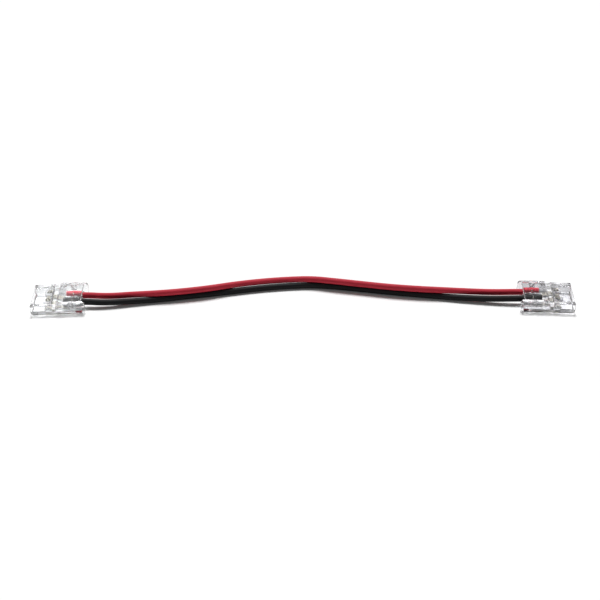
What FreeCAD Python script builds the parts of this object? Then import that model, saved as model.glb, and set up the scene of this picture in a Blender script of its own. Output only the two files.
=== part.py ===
import FreeCAD, Part
import os
from math import cos, pi, radians, sin, tan

os.makedirs("parts", exist_ok=True)

# The two housings are one moulding used twice. In its own frame u (the first number of a place)
# runs from the wire end to the strip end, v across it, and z up from the table.
housing_length = 16.5
housing_width = 12.2
wall_thickness = 1.0
floor_thickness = 0.9
# The side walls run past the floor and the lid at the wire end, as two rounded ears.
ear_reach = 1.1
ear_top_radius = 1.1
ear_foot_radius = 0.8
strip_end_foot_radius = 1.1
outline_corner_radius = 0.3
wall_edge_bevel = 0.1
# Notch in the top edge of each wall, between the two lids.
notch_start = 8.5
notch_end = 10.0
notch_depth = 0.35

# Hinge pins of the lids, one lid either side of the notch.
wire_hinge_place = 7.6
strip_hinge_place = 10.9
hinge_pin_radius = 0.45
hinge_pin_length = 0.95
hinge_clearance = 0.06
# The hinge cheeks are drawn a little smaller than the lid's rolled end that they stand under.
cheek_step = 0.05
cheek_thickness = 0.8

# Wires and where they lie in a housing.
wire_radius = 0.975
# Copper inside a wire, which the contact's fork has to straddle.
core_radius = 0.45
wire_pitch = 3.7
# The pair lies a little to one side of the housing's middle.
wire_offset = 0.4
# What the wires lie clear of the floor, on their bed.
wire_floor_gap = 0.125
trough_clearance = 0.03
red_wire_end = 6.2
black_wire_end = 6.8

# Wire bed, cross wall and strip channel of the base.
bed_end = 6.95
bed_half_width = 3.7
bed_top_height = 1.95
trough_end = 3.2
channel_side_clearance = 0.08
cross_wall_start = 8.95
cross_wall_end = 9.95
strip_channel_width = 8.2
ledge_start = 12.0
strip_lead_in = 0.35

# Lids.
lid_side_clearance = 0.1
lid_rest_gap = 0.05
wire_lid_thickness = 0.875
strip_lid_thickness = 0.8
# The rolled end of the wire lid, from its hinge's middle.
wire_lid_barrel = 1.15
lid_edge_bevel = 0.12
presser_edge_radius = 0.12
lid_corner_radius = 0.25
lid_lower_corner_radius = 0.12
lid_free_end_gap = 0.1
# How far a rib, saddle or bar runs up into the plate that it grows from.
root_depth = 0.3
# What the wire lid's flat underside leaves above the wires.
wire_press_gap = 0.05
# Short tabs hang from the wire lid's sides and carry its nubs.
wire_lid_tab_start = 3.4
wire_lid_tab_end = 5.2
wire_lid_tab_bottom = 1.75
presser_bottom = 1.75
presser_width = 1.6
presser_start = 10.6
presser_end = 12.9
# Measured back from the strip end of the housing.
strip_nub_end_gap = 2.1

# Snap nubs on the lids' sides, round on the wire lid and a wedge on the strip lid, and the windows
# in the walls that they sit in.
nub_reach = 0.4
wire_nub_place = 4.3
wire_nub_height = 2.5
wire_nub_radius = 0.6
# Measured up from the hinges.
strip_nub_rise = 0.25
strip_nub_half_length = 0.7
strip_nub_half_height = 0.25
strip_nub_slope = 0.18
nub_run_clearance = 0.12
nub_groove_extra_depth = 0.06

# Contacts, folded from strip metal.
metal_thickness = 0.3
strap_width = 1.9
pocket_clearance = 0.05
fork_place = 3.85
fork_top_height = 2.95
fork_slot_clearance = 0.02
fork_slot_bottom_height = 1.5
fork_slot_corner_radius = 0.4
fork_mouth_height = 2.55
fork_mouth_half_width = 0.75
bend_radius = 0.4
inner_bend_radius = 0.1
tooth_plate_start = 10.25
tooth_plate_end = 12.65
tooth_plate_width = 2.7
# Distance between the strip's two pads, middle to middle.
pad_pitch = 4.4
tooth_height = 0.55
tooth_count = 3
tooth_tip = 0.1

# Where the housings stand: the middle of each one's wire end, and how far it is turned.
housing_place_x = 67.25
housing_place_y = 0.61
housing_turn = 4.25

# Routes of the two wires between the housings, as the corners that their bends are drawn into.
# They come down from the housings to the table, where the black one lies on it and the red one
# leans on the black one from behind.
black_route = [
    (-52.0, 0.0, 1.45),
    (-34.0, 2.75, 0.98),
    (-12.0, 8.24, 0.98),
    (10.0, 8.33, 0.98),
    (32.0, 3.5, 0.98),
    (50.0, 0.85, 1.3),
]
red_route = [
    (-52.0, 2.09, 2.03),
    (-34.0, 4.61, 1.96),
    (-12.0, 9.26, 2.86),
    (10.0, 9.8, 2.38),
    (32.0, 5.28, 1.99),
    (50.0, 2.83, 2.2),
]
# Each wire leaves its housing straight. This is how far out of the wire end its first bend lies.
first_bend_reach = 2.0
# Share of the shorter run next to a bend that the bend takes.
bend_share = 0.45

strip_nub_place = housing_length - strip_nub_end_gap
# Heights, from the floor up: the wires on it, the lid on them, and the hinges in the lid.
wire_axis_height = floor_thickness + wire_floor_gap + wire_radius
wire_lid_underside = wire_axis_height + wire_radius + wire_press_gap
wire_half_height = wire_lid_underside + wire_lid_thickness
hinge_height = wire_half_height - wire_lid_barrel
strip_nub_height = hinge_height + strip_nub_rise
strip_half_height = hinge_height + strip_lid_thickness
notch_floor_height = strip_half_height - notch_depth
ledge_height = hinge_height - lid_rest_gap
bay_half_width = housing_width / 2 - wall_thickness
lid_half_width = bay_half_width - lid_side_clearance
wire_sides = {"near": wire_offset - wire_pitch / 2, "far": wire_offset + wire_pitch / 2}
pad_sides = {"near": -pad_pitch / 2, "far": pad_pitch / 2}
strap_bottom = floor_thickness - metal_thickness
# How far a cutting shape runs past what it cuts, and the shortest edge worth drawing.
past = 1.0
least_edge = 0.001


def vec(x, y, z=0.0):
    return FreeCAD.Vector(x, y, z)


def block(u_from, u_to, v_from, v_to, z_from, z_to):
    return Part.makeBox(u_to - u_from, v_to - v_from, z_to - z_from, vec(u_from, v_from, z_from))


def rounded_outline(corners, place):
    """Closed face through corners (first, second, radius). place turns a pair into a 3-D point."""
    edges = []
    ends = []
    count = len(corners)
    for number in range(count):
        here = vec(*corners[number][:2])
        before = vec(*corners[number - 1][:2]) - here
        after = vec(*corners[(number + 1) % count][:2]) - here
        radius = corners[number][2]
        half = before.getAngle(after) / 2
        before.normalize()
        after.normalize()
        if radius:
            reach = radius / tan(half)
            inward = before + after
            inward.normalize()
            middle = here + inward * (radius / sin(half) - radius)
            ends.append((here + before * reach, middle, here + after * reach))
        else:
            ends.append((here, None, here))
    for number in range(count):
        start, middle, end = ends[number]
        if middle is not None:
            arc = Part.Arc(place(start), place(middle), place(end))
            edges.append(arc.toShape())
        following = ends[(number + 1) % count][0]
        if end.distanceToPoint(following) > least_edge:
            edges.append(Part.makeLine(place(end), place(following)))
    return Part.Face(Part.Wire(edges))


def side_shape(corners, v_from, v_to):
    """Solid with the outline (u, z, radius) seen from the side, from v_from to v_to."""
    face = rounded_outline(corners, lambda p: vec(p.x, v_from, p.y))
    return face.extrude(vec(0, v_to - v_from, 0))


def end_shape(corners, u_from, u_to):
    """Solid with the outline (v, z, radius) seen along the housing, from u_from to u_to."""
    face = rounded_outline(corners, lambda p: vec(u_from, p.x, p.y))
    return face.extrude(vec(u_to - u_from, 0, 0))


def rod_across(u, z, radius, v_from, v_to):
    return Part.makeCylinder(radius, v_to - v_from, vec(u, v_from, z), vec(0, 1, 0))


def rod_along(v, z, radius, u_from, u_to):
    return Part.makeCylinder(radius, u_to - u_from, vec(u_from, v, z), vec(1, 0, 0))


def side_face_edges(solid, half_width):
    """Edges that border the flat faces at plus and minus half_width."""
    found = []
    for face in solid.Faces:
        box = face.BoundBox
        flat = box.YLength < least_edge
        if flat and abs(abs(box.YMin) - half_width) < least_edge:
            found += face.Edges
    return found


def between(side, inner, outer):
    """The v range from inner to outer on one side of the housing."""
    return (inner, outer) if side > 0 else (-outer, -inner)


def make_base():
    """Floor, walls, wire bed, cross wall and strip channel: one moulding."""
    outline = [
        (0, 0, ear_foot_radius),
        (housing_length, 0, strip_end_foot_radius),
        (housing_length, strip_half_height, outline_corner_radius),
        (notch_end, strip_half_height, 0),
        (notch_end, notch_floor_height, 0),
        (notch_start, notch_floor_height, 0),
        (notch_start, wire_half_height, outline_corner_radius),
        (0, wire_half_height, ear_top_radius),
    ]
    half = housing_width / 2
    solid = side_shape(outline, -half, half)
    solid = solid.makeChamfer(wall_edge_bevel, side_face_edges(solid, half))
    top = wire_half_height + past
    far_end = housing_length + past
    hollows = [
        block(-past, far_end, -bay_half_width, bay_half_width, ledge_height, top),
        block(-past, cross_wall_start, -bay_half_width, bay_half_width, floor_thickness, top),
        block(cross_wall_end, ledge_start, -bay_half_width, bay_half_width, floor_thickness, top),
        block(cross_wall_end, far_end, -strip_channel_width / 2, strip_channel_width / 2,
              floor_thickness, top),
        block(-past, ear_reach, -bay_half_width, bay_half_width, -past, top),
    ]
    for hollow in hollows:
        solid = solid.cut(hollow)
    bed = block(ear_reach, bed_end, -bed_half_width, bed_half_width, strap_bottom, bed_top_height)
    solid = solid.fuse(bed)
    trough_radius = wire_radius + trough_clearance
    channel_half = trough_radius + channel_side_clearance
    pocket_half = strap_width / 2 + pocket_clearance
    pocket_top = floor_thickness + pocket_clearance
    tooth_half = tooth_plate_width / 2 + pocket_clearance
    for name, v in wire_sides.items():
        pad = pad_sides[name]
        solid = solid.cut(rod_along(v, wire_axis_height, trough_radius, 0, trough_end))
        solid = solid.cut(block(trough_end, cross_wall_start, v - channel_half, v + channel_half,
                                floor_thickness, top))
        solid = solid.cut(block(fork_place - pocket_clearance, tooth_plate_end + pocket_clearance,
                                v - pocket_half, v + pocket_half, strap_bottom, pocket_top))
        solid = solid.cut(block(tooth_plate_start - pocket_clearance, tooth_plate_end + pocket_clearance,
                                pad - tooth_half, pad + tooth_half, strap_bottom, floor_thickness))
    lead_in = [
        (housing_length - strip_lead_in, floor_thickness, 0),
        (housing_length + strip_lead_in, floor_thickness - 2 * strip_lead_in, 0),
        (housing_length + strip_lead_in, floor_thickness, 0),
    ]
    solid = solid.cut(side_shape(lead_in, -strip_channel_width / 2, strip_channel_width / 2))
    hole_radius = hinge_pin_radius + hinge_clearance
    for u in (wire_hinge_place, strip_hinge_place):
        solid = solid.cut(rod_across(u, hinge_height, hole_radius, -half - past, half + past))
    window = wire_nub_radius + nub_run_clearance
    solid = solid.cut(rod_across(wire_nub_place, wire_nub_height, window, -half - past, half + past))
    window_half = strip_nub_half_length + nub_run_clearance
    window_rise = strip_nub_half_height + nub_run_clearance
    solid = solid.cut(block(strip_nub_place - window_half, strip_nub_place + window_half,
                            -half - past, half + past,
                            strip_nub_height - window_rise, strip_nub_height + window_rise))
    # The nubs come up through these grooves when a lid is swung open.
    grooves = [
        (wire_nub_place, wire_nub_height, window),
        (strip_nub_place, strip_nub_height, window_half),
    ]
    groove_outer = lid_half_width + nub_reach + nub_groove_extra_depth
    for u, z, half_length in grooves:
        for side in (-1, 1):
            v_range = between(side, bay_half_width - past, groove_outer)
            solid = solid.cut(block(u - half_length, u + half_length, *v_range, z, top))
    return solid.removeSplitter()


def make_round_nub(side):
    v_range = between(side, lid_half_width - root_depth, lid_half_width + nub_reach)
    return rod_across(wire_nub_place, wire_nub_height, wire_nub_radius, *v_range)


def make_wedge_nub(side):
    """Nub with sloping faces above and below, which slides past the wall's edge."""
    root = side * (lid_half_width - root_depth)
    tip = side * (lid_half_width + nub_reach)
    low = strip_nub_height - strip_nub_half_height
    high = strip_nub_height + strip_nub_half_height
    outline = [
        (root, low, 0),
        (tip, low + strip_nub_slope, 0),
        (tip, high - strip_nub_slope, 0),
        (root, high, 0),
    ]
    return end_shape(outline, strip_nub_place - strip_nub_half_length,
                     strip_nub_place + strip_nub_half_length)


def make_lid(outline, hinge_place, barrel, make_nub):
    """A lid's top plate with its hinge cheeks, pins and nubs."""
    solid = side_shape(outline, -lid_half_width, lid_half_width)
    top = hinge_height + barrel
    bevelled = [
        (-lid_half_width, 0, 0),
        (lid_half_width, 0, 0),
        (lid_half_width, top - lid_edge_bevel, 0),
        (lid_half_width - lid_edge_bevel, top, 0),
        (-lid_half_width + lid_edge_bevel, top, 0),
        (-lid_half_width, top - lid_edge_bevel, 0),
    ]
    solid = solid.common(end_shape(bevelled, 0, housing_length))
    for side in (-1, 1):
        cheek_range = between(side, lid_half_width - cheek_thickness, lid_half_width)
        cheek_radius = barrel - cheek_step
        solid = solid.fuse(rod_across(hinge_place, hinge_height, cheek_radius, *cheek_range))
        pin_range = between(side, lid_half_width - root_depth, lid_half_width + hinge_pin_length)
        solid = solid.fuse(rod_across(hinge_place, hinge_height, hinge_pin_radius, *pin_range))
        solid = solid.fuse(make_nub(side))
    return solid


def make_wire_lid():
    """Lid over the wires, flat underneath, where it pushes them down on the forks."""
    barrel = wire_lid_barrel
    free_end = ear_reach + lid_free_end_gap
    outline = [
        (free_end, wire_lid_underside, lid_lower_corner_radius),
        (wire_hinge_place, wire_lid_underside, 0),
        (wire_hinge_place, hinge_height, 0),
        (wire_hinge_place + barrel, hinge_height, 0),
        (wire_hinge_place + barrel, wire_half_height, barrel),
        (free_end, wire_half_height, lid_corner_radius),
    ]
    solid = make_lid(outline, wire_hinge_place, barrel, make_round_nub)
    for side in (-1, 1):
        tab_range = between(side, lid_half_width - cheek_thickness, lid_half_width)
        solid = solid.fuse(block(wire_lid_tab_start, wire_lid_tab_end, *tab_range,
                                 wire_lid_tab_bottom, wire_lid_underside + root_depth))
    return solid.removeSplitter()


def make_strip_lid():
    """Lid over the strip. It has two bars that press the strip's pads on the contacts' teeth."""
    barrel = strip_lid_thickness
    free_end = housing_length - lid_free_end_gap
    outline = [
        (strip_hinge_place - barrel, hinge_height, 0),
        (free_end, hinge_height, lid_lower_corner_radius),
        (free_end, strip_half_height, lid_corner_radius),
        (strip_hinge_place - barrel, strip_half_height, barrel),
    ]
    solid = make_lid(outline, strip_hinge_place, barrel, make_wedge_nub)
    for v in pad_sides.values():
        bar_outline = [
            (v - presser_width / 2, presser_bottom, presser_edge_radius),
            (v + presser_width / 2, presser_bottom, presser_edge_radius),
            (v + presser_width / 2, hinge_height + root_depth, 0),
            (v - presser_width / 2, hinge_height + root_depth, 0),
        ]
        solid = solid.fuse(end_shape(bar_outline, presser_start, presser_end))
    return solid.removeSplitter()


def make_contact(v, pad):
    """Strap in the floor, forked upright at the wire end, saw teeth at the strip end."""
    profile = [
        (fork_place, strap_bottom, bend_radius),
        (tooth_plate_end, strap_bottom, 0),
        (tooth_plate_end, floor_thickness, 0),
        (fork_place + metal_thickness, floor_thickness, inner_bend_radius),
        (fork_place + metal_thickness, fork_top_height, 0),
        (fork_place, fork_top_height, 0),
    ]
    solid = side_shape(profile, v - strap_width / 2, v + strap_width / 2)
    slot_half = core_radius + fork_slot_clearance
    mouth_top = fork_top_height + past
    mouth_rise = fork_top_height - fork_mouth_height
    mouth_spread = (fork_mouth_half_width - slot_half) * (mouth_top - fork_mouth_height) / mouth_rise
    slot = [
        (v - slot_half, fork_slot_bottom_height, fork_slot_corner_radius),
        (v + slot_half, fork_slot_bottom_height, fork_slot_corner_radius),
        (v + slot_half, fork_mouth_height, 0),
        (v + slot_half + mouth_spread, mouth_top, 0),
        (v - slot_half - mouth_spread, mouth_top, 0),
        (v - slot_half, fork_mouth_height, 0),
    ]
    solid = solid.cut(end_shape(slot, fork_place - past, fork_place + past))
    plate = block(tooth_plate_start, tooth_plate_end, pad - tooth_plate_width / 2, pad + tooth_plate_width / 2,
                  strap_bottom, floor_thickness)
    solid = solid.fuse(plate)
    pitch = (tooth_plate_end - tooth_plate_start) / tooth_count
    for number in range(tooth_count):
        start = tooth_plate_start + number * pitch
        middle = start + pitch / 2
        tooth = [
            (start, strap_bottom, 0),
            (start + pitch, strap_bottom, 0),
            (start + pitch, floor_thickness, 0),
            (middle + tooth_tip, floor_thickness + tooth_height, 0),
            (middle - tooth_tip, floor_thickness + tooth_height, 0),
            (start, floor_thickness, 0),
        ]
        for side in (-1, 1):
            edge = pad + side * tooth_plate_width / 2
            v_from = min(edge, edge - side * metal_thickness)
            solid = solid.fuse(side_shape(tooth, v_from, v_from + metal_thickness))
    return solid.removeSplitter()


def stand(shape, side):
    """Turn and move a housing's piece to its place at the left (-1) or right (1) end."""
    turned = shape.copy()
    angle = -housing_turn if side > 0 else 180 + housing_turn
    turned.rotate(vec(0, 0, 0), vec(0, 0, 1), angle)
    turned.translate(vec(side * housing_place_x, housing_place_y, 0))
    return turned


def stand_point(u, v, z, side):
    angle = radians(-housing_turn if side > 0 else 180 + housing_turn)
    x = side * housing_place_x + u * cos(angle) - v * sin(angle)
    y = housing_place_y + u * sin(angle) + v * cos(angle)
    return (round(x, 3), round(y, 3), z)


def wire_corners(world_side, end_depth, route):
    """All the corners of one wire: world_side is 1 for the far wire and -1 for the near one."""
    left_v = wire_sides["near" if world_side > 0 else "far"]
    right_v = wire_sides["far" if world_side > 0 else "near"]
    corners = [
        stand_point(end_depth, left_v, wire_axis_height, -1),
        stand_point(-first_bend_reach, left_v, wire_axis_height, -1),
    ]
    corners += route
    corners += [
        stand_point(-first_bend_reach, right_v, wire_axis_height, 1),
        stand_point(end_depth, right_v, wire_axis_height, 1),
    ]
    return corners


def wire_path(name, corners):
    """Straight runs joined by tangent arcs."""
    points = [vec(*corner) for corner in corners]
    edges = []
    last = points[0]
    radii = []
    for number in range(1, len(points) - 1):
        here = points[number]
        back = points[number - 1] - here
        ahead = points[number + 1] - here
        reach = bend_share * min(back.Length, ahead.Length)
        half_turn = (pi - back.getAngle(ahead)) / 2
        radius = reach / tan(half_turn)
        radii.append(round(radius, 1))
        back.normalize()
        ahead.normalize()
        start = here + back * reach
        end = here + ahead * reach
        inward = back + ahead
        inward.normalize()
        middle = here + inward * (radius / cos(half_turn) - radius)
        edges.append(Part.LineSegment(last, start).toShape())
        edges.append(Part.Arc(start, middle, end).toShape())
        last = end
    edges.append(Part.LineSegment(last, points[-1]).toShape())
    path = Part.Wire(edges)
    print(name, "corners", [tuple(round(value, 3) for value in corner) for corner in corners])
    print(name, "radii", radii, "length", round(path.Length, 2))
    return path, points[0], points[1] - points[0]


def sweep(path, start, heading, radius):
    circle = Part.Wire(Part.makeCircle(radius, start, heading))
    return path.makePipeShell([circle], True, False)


def make_wire(name, corners, forks):
    """A wire with its copper inside, cut where the forks go in."""
    path, start, heading = wire_path(name, corners)
    wire = sweep(path, start, heading, wire_radius)
    plain_volume = pi * path.Length * wire_radius ** 2
    print(name, "volume share", round(wire.Volume / plain_volume, 4))
    for fork in forks:
        wire = wire.cut(fork)
    return wire


base = make_base()
wire_lid = make_wire_lid()
strip_lid = make_strip_lid()
contacts = {name: make_contact(v, pad_sides[name]) for name, v in wire_sides.items()}

nodes = {}
for side, end_name in ((-1, "left"), (1, "right")):
    # The left housing is turned about, so its far side in the world is its own near side.
    far_name = "far" if side > 0 else "near"
    near_name = "near" if side > 0 else "far"
    nodes[end_name + "_base"] = stand(base, side)
    nodes[end_name + "_wire_lid"] = stand(wire_lid, side)
    nodes[end_name + "_strip_lid"] = stand(strip_lid, side)
    nodes[end_name + "_red_contact"] = stand(contacts[far_name], side)
    nodes[end_name + "_black_contact"] = stand(contacts[near_name], side)
    for joint, u in (("wire_lid", wire_hinge_place), ("strip_lid", strip_hinge_place)):
        print(end_name, joint, "hinge at", stand_point(u, 0, hinge_height, side))
    print(end_name, "slot at", stand_point(housing_length, 0, floor_thickness, side))
    print(end_name, "foot at", stand_point(housing_length / 2, 0, 0, side))

red_corners = wire_corners(1, red_wire_end, red_route)
black_corners = wire_corners(-1, black_wire_end, black_route)
red_forks = [nodes["left_red_contact"], nodes["right_red_contact"]]
black_forks = [nodes["left_black_contact"], nodes["right_black_contact"]]
nodes["red_wire"] = make_wire("red", red_corners, red_forks)
nodes["black_wire"] = make_wire("black", black_corners, black_forks)

housing_nodes = [shape for name, shape in nodes.items() if "left" in name or "right" in name]
whole = Part.makeCompound(housing_nodes).BoundBox
print("housings", round(whole.XMin, 3), round(whole.XMax, 3), round(whole.YMin, 3),
      round(whole.YMax, 3), round(whole.ZMin, 3), round(whole.ZMax, 3))
for name, shape in nodes.items():
    print(name, "solids", len(shape.Solids), "valid", shape.isValid(), "volume", round(shape.Volume, 3))
    shape.exportStep("parts/" + name + ".step")
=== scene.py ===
from math import cos, pi, radians, sin

import bmesh
import bpy
from mathutils import Euler, Matrix, Vector


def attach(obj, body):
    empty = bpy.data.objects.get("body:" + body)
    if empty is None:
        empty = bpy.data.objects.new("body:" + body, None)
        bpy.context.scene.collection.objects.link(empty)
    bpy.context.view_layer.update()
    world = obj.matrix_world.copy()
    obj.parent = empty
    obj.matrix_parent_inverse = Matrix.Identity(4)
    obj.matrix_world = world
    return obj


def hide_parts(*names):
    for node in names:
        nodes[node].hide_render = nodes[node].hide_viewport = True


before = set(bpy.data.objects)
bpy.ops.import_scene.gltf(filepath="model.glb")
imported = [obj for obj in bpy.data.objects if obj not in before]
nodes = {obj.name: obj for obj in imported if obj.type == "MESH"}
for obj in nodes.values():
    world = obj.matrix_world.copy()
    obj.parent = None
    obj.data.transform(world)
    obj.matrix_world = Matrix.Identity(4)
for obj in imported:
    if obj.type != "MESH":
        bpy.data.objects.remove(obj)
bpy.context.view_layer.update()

scene = bpy.context.scene

# The camera stands where the photograph was taken: about a foot away, looking down on the cable
# from its near side, a hair off square. Its lens is a short telephoto.
camera_down = radians(33.464)
camera_turn = radians(0.554)
camera_roll = radians(-0.534)
camera_place = (0.001755, -0.258060, 0.171654)
camera_lens_mm = 59.65
camera_sensor_mm = 36.0

camera_data = bpy.data.cameras.new("camera")
camera_data.lens = camera_lens_mm
camera_data.sensor_width = camera_sensor_mm
camera_data.clip_start = 0.01
camera = bpy.data.objects.new("camera", camera_data)
scene.collection.objects.link(camera)
aim = Euler((0, 0, camera_turn)).to_matrix() @ Euler((pi / 2 - camera_down, 0, 0)).to_matrix()
aim = aim @ Euler((0, 0, camera_roll)).to_matrix()
camera.matrix_world = Matrix.Translation(camera_place) @ aim.to_4x4()
scene.camera = camera

# The two wires are stranded copper with soft PVC extruded round it, 1.95 mm thick and cut 15 cm
# long. The black one lies on the table. The red one rides on top of it on both flanks and leans
# on it from behind in the middle.
wire_diameter = 0.00195
red_length = 0.1488
black_length = 0.1495
# Where each wire comes out of the left housing.
red_exit = (-0.06720, 0.00206, 0.0020)
black_exit = (-0.06710, -0.00163, 0.0020)
red_route = [
    (-0.07354, 0.001597, 0.0020),
    (-0.06855, 0.00197, 0.0020),
    (-0.0610, 0.00149, 0.00176),
    (-0.0530, 0.00152, 0.00234),
    (-0.0450, 0.00140, 0.00286),
    (-0.0370, 0.00243, 0.00294),
    (-0.0290, 0.00407, 0.00295),
    (-0.0210, 0.00688, 0.00257),
    (-0.0130, 0.00873, 0.00241),
    (-0.0050, 0.00980, 0.00238),
    (0.0030, 0.00963, 0.00276),
    (0.0100, 0.00790, 0.00299),
    (0.0180, 0.00633, 0.00293),
    (0.0270, 0.00446, 0.00294),
    (0.0360, 0.00317, 0.00295),
    (0.0440, 0.00259, 0.00283),
    (0.0520, 0.00239, 0.00244),
    (0.0600, 0.00249, 0.00202),
    (0.06861, 0.00277, 0.0020),
    (0.0736, 0.002394, 0.0020),
]
black_route = [
    (-0.073865, -0.002138, 0.0020),
    (-0.06828, -0.00172, 0.0020),
    (-0.0610, -0.00191, 0.00160),
    (-0.0530, -0.00054, 0.00126),
    (-0.0450, 0.00073, 0.00101),
    (-0.0370, 0.00242, 0.00098),
    (-0.0290, 0.00387, 0.00098),
    (-0.0210, 0.00560, 0.00098),
    (-0.0130, 0.00722, 0.00098),
    (-0.0050, 0.00830, 0.00098),
    (0.0030, 0.00878, 0.00098),
    (0.0100, 0.00796, 0.00098),
    (0.0180, 0.00645, 0.00098),
    (0.0270, 0.00461, 0.00098),
    (0.0360, 0.00312, 0.00098),
    (0.0440, 0.00168, 0.00104),
    (0.0520, 0.00041, 0.00124),
    (0.0600, -0.00057, 0.00159),
    (0.06834, -0.00093, 0.0020),
    (0.073924, -0.00134, 0.0020),
]


def linear(colour_hex):
    """The linear red, green, blue and alpha that a colour written as sRGB hex stands for."""
    channels = [int(colour_hex[at:at + 2], 16) / 255 for at in (1, 3, 5)]
    red, green, blue = (value / 12.92 if value <= 0.04045 else ((value + 0.055) / 1.055) ** 2.4
                        for value in channels)
    return red, green, blue, 1.0


def add_node(tree, kind, settings=None, links=None):
    """Adds one node. settings are its options or plain input values, and links feed its inputs."""
    node = tree.nodes.new(kind)
    for name, value in (settings or {}).items():
        if isinstance(name, int) or name in node.inputs:
            node.inputs[name].default_value = value
        else:
            setattr(node, name, value)
    for name, output in (links or {}).items():
        tree.links.new(output, node.inputs[name])
    return node


def new_material(name):
    """An empty material, and the tree and output node that its shader goes into."""
    material = bpy.data.materials.new(name)
    material.use_nodes = True
    material.node_tree.nodes.clear()
    output = material.node_tree.nodes.new("ShaderNodeOutputMaterial")
    return material, material.node_tree, output


def extruded_pvc(name, colour_hex, streak_hex):
    """Plasticised PVC, drawn through a warm die: satin, with a faint orange peel and soft
    cloudy streaks where the pigment is a little thinner."""
    material, tree, output = new_material(name)
    place = add_node(tree, "ShaderNodeTexCoord")
    # The peel is drawn coarser than the real one.
    cloud_length = 0.003
    peel_width = 0.00025
    peel_height = 0.00002
    clouds = add_node(tree, "ShaderNodeTexNoise", {"Scale": 1 / cloud_length, "Detail": 2.0},
                      {"Vector": place.outputs["Object"]})
    shade = add_node(tree, "ShaderNodeMix", {"data_type": "RGBA", "A": linear(colour_hex),
                                             "B": linear(streak_hex)},
                     {"Factor": clouds.outputs["Fac"]})
    peel = add_node(tree, "ShaderNodeTexNoise", {"Scale": 1 / peel_width, "Detail": 1.0},
                    {"Vector": place.outputs["Object"]})
    bump = add_node(tree, "ShaderNodeBump", {"Strength": 0.06, "Distance": peel_height},
                    {"Height": peel.outputs["Fac"]})
    shader = add_node(tree, "ShaderNodeBsdfPrincipled",
                      {"IOR": 1.53, "Roughness": 0.6, "Specular IOR Level": 0.15},
                      {"Base Color": shade.outputs[2], "Normal": bump.outputs["Normal"]})
    tree.links.new(shader.outputs[0], output.inputs["Surface"])
    return material


def draw_wire(name, route, material):
    """A wire as a smooth NURBS curve through its route."""
    curve = bpy.data.curves.new(name, "CURVE")
    curve.dimensions = "3D"
    curve.bevel_depth = wire_diameter / 2
    curve.bevel_resolution = 8
    curve.resolution_u = 24
    curve.use_fill_caps = True
    spline = curve.splines.new("NURBS")
    spline.points.add(len(route) - 1)
    for point, place in zip(spline.points, route):
        point.co = (*place, 1.0)
    spline.order_u = 3
    spline.use_endpoint_u = True
    curve.materials.append(material)
    wire = bpy.data.objects.new(name, curve)
    scene.collection.objects.link(wire)
    return wire


red_pvc = extruded_pvc("red_extruded_pvc", "#C83446", "#B92B3B")
black_pvc = extruded_pvc("black_extruded_pvc", "#151517", "#1B1B1D")
red_wire = draw_wire("red_insulation", red_route, red_pvc)
black_wire = draw_wire("black_insulation", black_route, black_pvc)

# Each wire's copper is seven strands twisted together, nipped off flush with the PVC. They show as
# a small rosette in the cut ends, through the clear plastic.
strand_diameter = 0.0003
strand_count = 7
strand_lay = 0.006
strand_proud = 0.00012
strand_depth = 0.0008


def drawn_copper(name):
    """Bare annealed copper, drawn and then cut: a warm satin metal, duller where tarnished."""
    material, tree, output = new_material(name)
    place = add_node(tree, "ShaderNodeTexCoord")
    tarnish_spot = 0.0002
    spots = add_node(tree, "ShaderNodeTexNoise", {"Scale": 1 / tarnish_spot, "Detail": 2.0},
                     {"Vector": place.outputs["Object"]})
    shade = add_node(tree, "ShaderNodeMix", {"data_type": "RGBA", "A": linear("#D88A5E"),
                                             "B": linear("#A9643F")},
                     {"Factor": spots.outputs["Fac"]})
    shader = add_node(tree, "ShaderNodeBsdfPrincipled", {"Metallic": 1.0, "Roughness": 0.32},
                      {"Base Color": shade.outputs[2]})
    tree.links.new(shader.outputs[0], output.inputs["Surface"])
    return material


def cut_strands(name, tip, inner, material):
    """The strand ends at a wire's tip. inner is the next point of the route inside the wire."""
    tip = Vector(tip)
    outward = (tip - Vector(inner)).normalized()
    across = outward.cross(Vector((0, 0, 1))).normalized()
    upward = across.cross(outward)
    mesh = bmesh.new()
    sides = 12
    rings = 5
    for strand in range(strand_count):
        ring_radius = 0 if strand == 0 else strand_diameter
        loops = []
        for ring in range(rings):
            along = -strand_depth + (strand_depth + strand_proud) * ring / (rings - 1)
            turn = 2 * pi * (strand / (strand_count - 1) + along / strand_lay)
            middle = tip + outward * along
            middle += (across * cos(turn) + upward * sin(turn)) * ring_radius
            angles = [2 * pi * side / sides for side in range(sides)]
            loops.append([mesh.verts.new(middle + (across * cos(angle) + upward * sin(angle))
                                         * strand_diameter / 2) for angle in angles])
        for low, high in zip(loops, loops[1:]):
            for side in range(sides):
                nxt = (side + 1) % sides
                mesh.faces.new((low[side], low[nxt], high[nxt], high[side]))
        mesh.faces.new(loops[-1])
        mesh.faces.new(list(reversed(loops[0])))
    bmesh.ops.recalc_face_normals(mesh, faces=mesh.faces)
    data = bpy.data.meshes.new(name)
    mesh.to_mesh(data)
    mesh.free()
    data.materials.append(material)
    strands = bpy.data.objects.new(name, data)
    scene.collection.objects.link(strands)
    return strands


copper = drawn_copper("drawn_copper")
red_strands = [cut_strands("left_red_strands", red_route[0], red_route[1], copper),
               cut_strands("right_red_strands", red_route[-1], red_route[-2], copper)]
black_strands = [cut_strands("left_black_strands", black_route[0], black_route[1], copper),
                 cut_strands("right_black_strands", black_route[-1], black_route[-2], copper)]
for wire, node, strands, place, length in (
        (red_wire, "red_wire", red_strands, red_exit, red_length),
        (black_wire, "black_wire", black_strands, black_exit, black_length)):
    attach(wire, "housings_and_cable")
    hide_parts(node)
    for piece in strands:
        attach(piece, "housings_and_cable")

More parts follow.
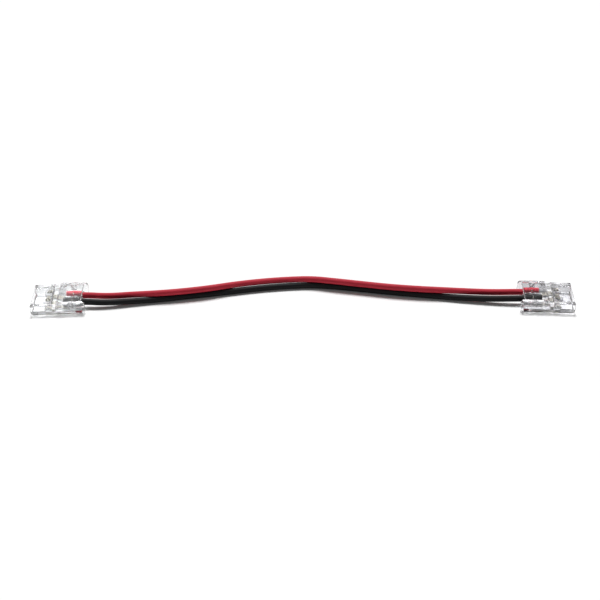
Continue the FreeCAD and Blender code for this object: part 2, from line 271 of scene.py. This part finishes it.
# The four contacts are blanked from 0.3 mm brass strip, folded and tin plated. A fork at one end
# cuts into the wire, and saw teeth at the other bite into the strip's pad.
contact_air_gap = 0.00001
# A CAD mesh has its points once for each face. Those closer than this are joined.
weld_reach = 0.000001


def tinned_brass(name):
    """Brass strip with matt tin on its faces: a pale grey satin metal, warmer where it is thin."""
    material, tree, output = new_material(name)
    place = add_node(tree, "ShaderNodeTexCoord")
    tin_crystal = 0.00015
    crystal_height = 0.00001
    thin_patch = 0.001
    grain = add_node(tree, "ShaderNodeTexNoise", {"Scale": 1 / tin_crystal, "Detail": 2.0},
                     {"Vector": place.outputs["Object"]})
    patches = add_node(tree, "ShaderNodeTexNoise", {"Scale": 1 / thin_patch, "Detail": 2.0},
                       {"Vector": place.outputs["Object"]})
    shade = add_node(tree, "ShaderNodeMix", {"data_type": "RGBA", "A": linear("#CFCECA"),
                                             "B": linear("#C2BBA8")},
                     {"Factor": patches.outputs["Fac"]})
    bump = add_node(tree, "ShaderNodeBump", {"Strength": 0.2, "Distance": crystal_height},
                    {"Height": grain.outputs["Fac"]})
    shader = add_node(tree, "ShaderNodeBsdfPrincipled", {"Metallic": 1.0, "Roughness": 0.3},
                      {"Base Color": shade.outputs[2], "Normal": bump.outputs["Normal"]})
    tree.links.new(shader.outputs[0], output.inputs["Surface"])
    return material


def dress(node, material):
    """Gives a CAD node's own solid a material."""
    solid = nodes[node]
    solid.data.materials.clear()
    solid.data.materials.append(material)


def shrink(node, gap):
    """Draws a CAD node's faces in by a hair, so that light finds air between it and plastic."""
    nodes[node].modifiers.new("joined_faces", "WELD").merge_threshold = weld_reach
    thinning = nodes[node].modifiers.new("air_gap", "DISPLACE")
    thinning.mid_level = 0
    thinning.strength = -gap


brass = tinned_brass("tinned_brass_strip")
for end in ("left", "right"):
    for colour in ("red", "black"):
        dress(end + "_" + colour + "_contact", brass)
        shrink(end + "_" + colour + "_contact", contact_air_gap)

# Each housing has a base and two lids that turn on pins in its walls. All three are injection
# moulded in clear polycarbonate from a polished tool, with edges as sharp as a tool's cutter
# leaves them.
edge_radius = 0.00003
# The share of the lamp's light that gets through a face it meets squarely or aslant.
light_through_squarely = 0.88
light_through_aslant = 0.05


def clear_polycarbonate(name, tint_and_painted_shade_hex, haze):
    """Clear polycarbonate from a polished tool: glassy, with faint flow ripples."""
    material, tree, output = new_material(name)
    place = add_node(tree, "ShaderNodeTexCoord")
    ripple_spacing = 0.0015
    ripple_height = 0.00003
    ripples = add_node(tree, "ShaderNodeTexNoise", {"Scale": 1 / ripple_spacing, "Detail": 1.0},
                       {"Vector": place.outputs["Object"]})
    bump = add_node(tree, "ShaderNodeBump", {"Strength": 0.15, "Distance": ripple_height},
                    {"Height": ripples.outputs["Fac"]})
    # The base colour is the plastic's tint, and for the right housing painted shade as well.
    shader = add_node(tree, "ShaderNodeBsdfPrincipled",
                      {"Base Color": linear(tint_and_painted_shade_hex), "IOR": 1.586, "Roughness": haze,
                       "Transmission Weight": 1.0}, {"Normal": bump.outputs["Normal"]})
    # The lamp's light goes through the plastic, and more of it where it meets a face squarely.
    squarely_below = 0.25
    aslant_above = 0.5
    facing = add_node(tree, "ShaderNodeLayerWeight", {"Blend": 0.5})
    passed = add_node(tree, "ShaderNodeMapRange", {"From Min": squarely_below,
                                                   "From Max": aslant_above,
                                                   "To Min": light_through_squarely,
                                                   "To Max": light_through_aslant},
                      {"Value": facing.outputs["Facing"]})
    clear = add_node(tree, "ShaderNodeBsdfTransparent", {}, {"Color": passed.outputs[0]})
    ray = add_node(tree, "ShaderNodeLightPath")
    mixed = add_node(tree, "ShaderNodeMixShader", {}, {0: ray.outputs["Is Shadow Ray"],
                                                       1: shader.outputs[0], 2: clear.outputs[0]})
    tree.links.new(mixed.outputs[0], output.inputs["Surface"])
    return material


def soften_edges(node, radius):
    """Rounds a CAD node's sharp edges, as a polished tool leaves them, and smooths its curves."""
    flat_within = radians(1)
    sharp_beyond = radians(35)
    solid = nodes[node]
    solid.modifiers.new("joined_faces", "WELD").merge_threshold = weld_reach
    merge = solid.modifiers.new("merge_flats", "DECIMATE")
    merge.decimate_type = "DISSOLVE"
    merge.angle_limit = flat_within
    rounding = solid.modifiers.new("edge_rounding", "BEVEL")
    rounding.width = radius
    rounding.segments = 2
    rounding.limit_method = "ANGLE"
    rounding.angle_limit = sharp_beyond
    rounding.use_clamp_overlap = False
    smooth = solid.modifiers.new("smooth_curves", "NODES")
    smooth.node_group = smoothing_group
    flat = solid.modifiers.new("flats_stay_flat", "WEIGHTED_NORMAL")
    flat.mode = "FACE_AREA"
    flat.keep_sharp = True


smoothing_group = bpy.data.node_groups.new("smooth_by_angle", "GeometryNodeTree")
for way in ("INPUT", "OUTPUT"):
    smoothing_group.interface.new_socket("Geometry", in_out=way,
                                         socket_type="NodeSocketGeometry")
entry = add_node(smoothing_group, "NodeGroupInput")
edge_angle = add_node(smoothing_group, "GeometryNodeInputMeshEdgeAngle")
smooth_below = radians(30)
gentle = add_node(smoothing_group, "FunctionNodeCompare",
                  {"data_type": "FLOAT", "operation": "LESS_THAN", "B": smooth_below},
                  {"A": edge_angle.outputs[0]})
all_smooth = add_node(smoothing_group, "GeometryNodeSetShadeSmooth", {"domain": "FACE"},
                      {"Geometry": entry.outputs[0]})
some_sharp = add_node(smoothing_group, "GeometryNodeSetShadeSmooth", {"domain": "EDGE"},
                      {"Geometry": all_smooth.outputs[0], "Shade Smooth": gentle.outputs[0]})
add_node(smoothing_group, "NodeGroupOutput", {}, {"Geometry": some_sharp.outputs[0]})

# The left housing is a touch hazier than the right one. The right one's greyer tint is painted
# shade, for the dimmer light that falls on it.
for end, tint_and_painted_shade_hex, haze in (("left", "#F7F8F9", 0.04), ("right", "#E9E9EB", 0.0)):
    polycarbonate = clear_polycarbonate(end + "_moulded_polycarbonate", tint_and_painted_shade_hex, haze)
    for part in ("_base", "_wire_lid", "_strip_lid"):
        dress(end + part, polycarbonate)
        soften_edges(end + part, edge_radius)

# The object lies on a white card, with a soft lamp high up behind it and white all round. The card
# is a hair lower than the underside, so that the two never share a plane.
card_size = 3.0
card_level = -0.00002
# What the card adds to its colour where the camera sees it, to come out white.
card_fill = 0.03
world_strength = 0.1
# What gloss and clear plastic show of the room: walls greyer than the ceiling, up to the given
# heights of the line of sight, and a right side greyer than the left.
wall_brightness = 0.12
wall_top = 0.35
ceiling_edge = 1.0
right_side_brightness = 0.3
right_side_from = -0.2
right_side_to = 0.3
lamp_strength = 3.35
lamp_softness = radians(22)
lamp_height = radians(63)

card_material, tree, output = new_material("white_card")
card_diffuse = add_node(tree, "ShaderNodeBsdfDiffuse", {"Color": linear("#FAFAFA")})
path = add_node(tree, "ShaderNodeLightPath")
seen = add_node(tree, "ShaderNodeMath", {"operation": "MULTIPLY", 1: card_fill},
                {0: path.outputs["Is Camera Ray"]})
fill = add_node(tree, "ShaderNodeEmission", {"Color": (1, 1, 1, 1)},
                {"Strength": seen.outputs[0]})
card_shader = add_node(tree, "ShaderNodeAddShader", {},
                       {0: card_diffuse.outputs[0], 1: fill.outputs[0]})
tree.links.new(card_shader.outputs[0], output.inputs["Surface"])
card_data = bpy.data.meshes.new("card")
half = card_size / 2
card_data.from_pydata([(-half, -half, card_level), (half, -half, card_level),
                       (half, half, card_level), (-half, half, card_level)], [], [(0, 1, 2, 3)])
card_data.materials.append(card_material)
card = bpy.data.objects.new("card", card_data)
scene.collection.objects.link(card)

lamp_data = bpy.data.lights.new("lamp", "SUN")
lamp_data.energy = lamp_strength
lamp_data.angle = lamp_softness
lamp = bpy.data.objects.new("lamp", lamp_data)
lamp.rotation_euler = (-(pi / 2 - lamp_height), 0, 0)
scene.collection.objects.link(lamp)

world = bpy.data.worlds.new("white_room")
world.use_nodes = True
scene.world = world
tree = world.node_tree
tree.nodes.clear()
output = tree.nodes.new("ShaderNodeOutputWorld")
path = add_node(tree, "ShaderNodeLightPath")
mirrored = add_node(tree, "ShaderNodeMath", {"operation": "MAXIMUM"},
                    {0: path.outputs["Is Glossy Ray"], 1: path.outputs["Is Transmission Ray"]})
heading = add_node(tree, "ShaderNodeTexCoord")
sight = add_node(tree, "ShaderNodeSeparateXYZ", {}, {"Vector": heading.outputs["Generated"]})
walls = add_node(tree, "ShaderNodeMapRange", {"From Min": wall_top, "From Max": ceiling_edge,
                                              "To Min": wall_brightness, "To Max": 1.0},
                 {"Value": sight.outputs["Z"]})
right_side = add_node(tree, "ShaderNodeMapRange",
                      {"From Min": right_side_from, "From Max": right_side_to,
                       "To Min": 1.0, "To Max": right_side_brightness},
                      {"Value": sight.outputs["X"]})
mirrored_room = add_node(tree, "ShaderNodeMath", {"operation": "MULTIPLY"},
                         {0: walls.outputs[0], 1: right_side.outputs[0]})
lighting = add_node(tree, "ShaderNodeMix", {"A": world_strength},
                    {"Factor": mirrored.outputs[0], "B": mirrored_room.outputs[0]})
level = add_node(tree, "ShaderNodeMix", {"B": 1.0},
                 {"Factor": path.outputs["Is Camera Ray"], "A": lighting.outputs[0]})
room = add_node(tree, "ShaderNodeBackground", {"Color": (1, 1, 1, 1)},
                {"Strength": level.outputs[0]})
tree.links.new(room.outputs[0], output.inputs["Surface"])

scene.view_settings.view_transform = "Standard"
# Light passes many clear faces in and out of the housings before it reaches the eye.
scene.cycles.max_bounces = 40
scene.cycles.transmission_bounces = 32
scene.cycles.glossy_bounces = 24

bpy.context.view_layer.update()
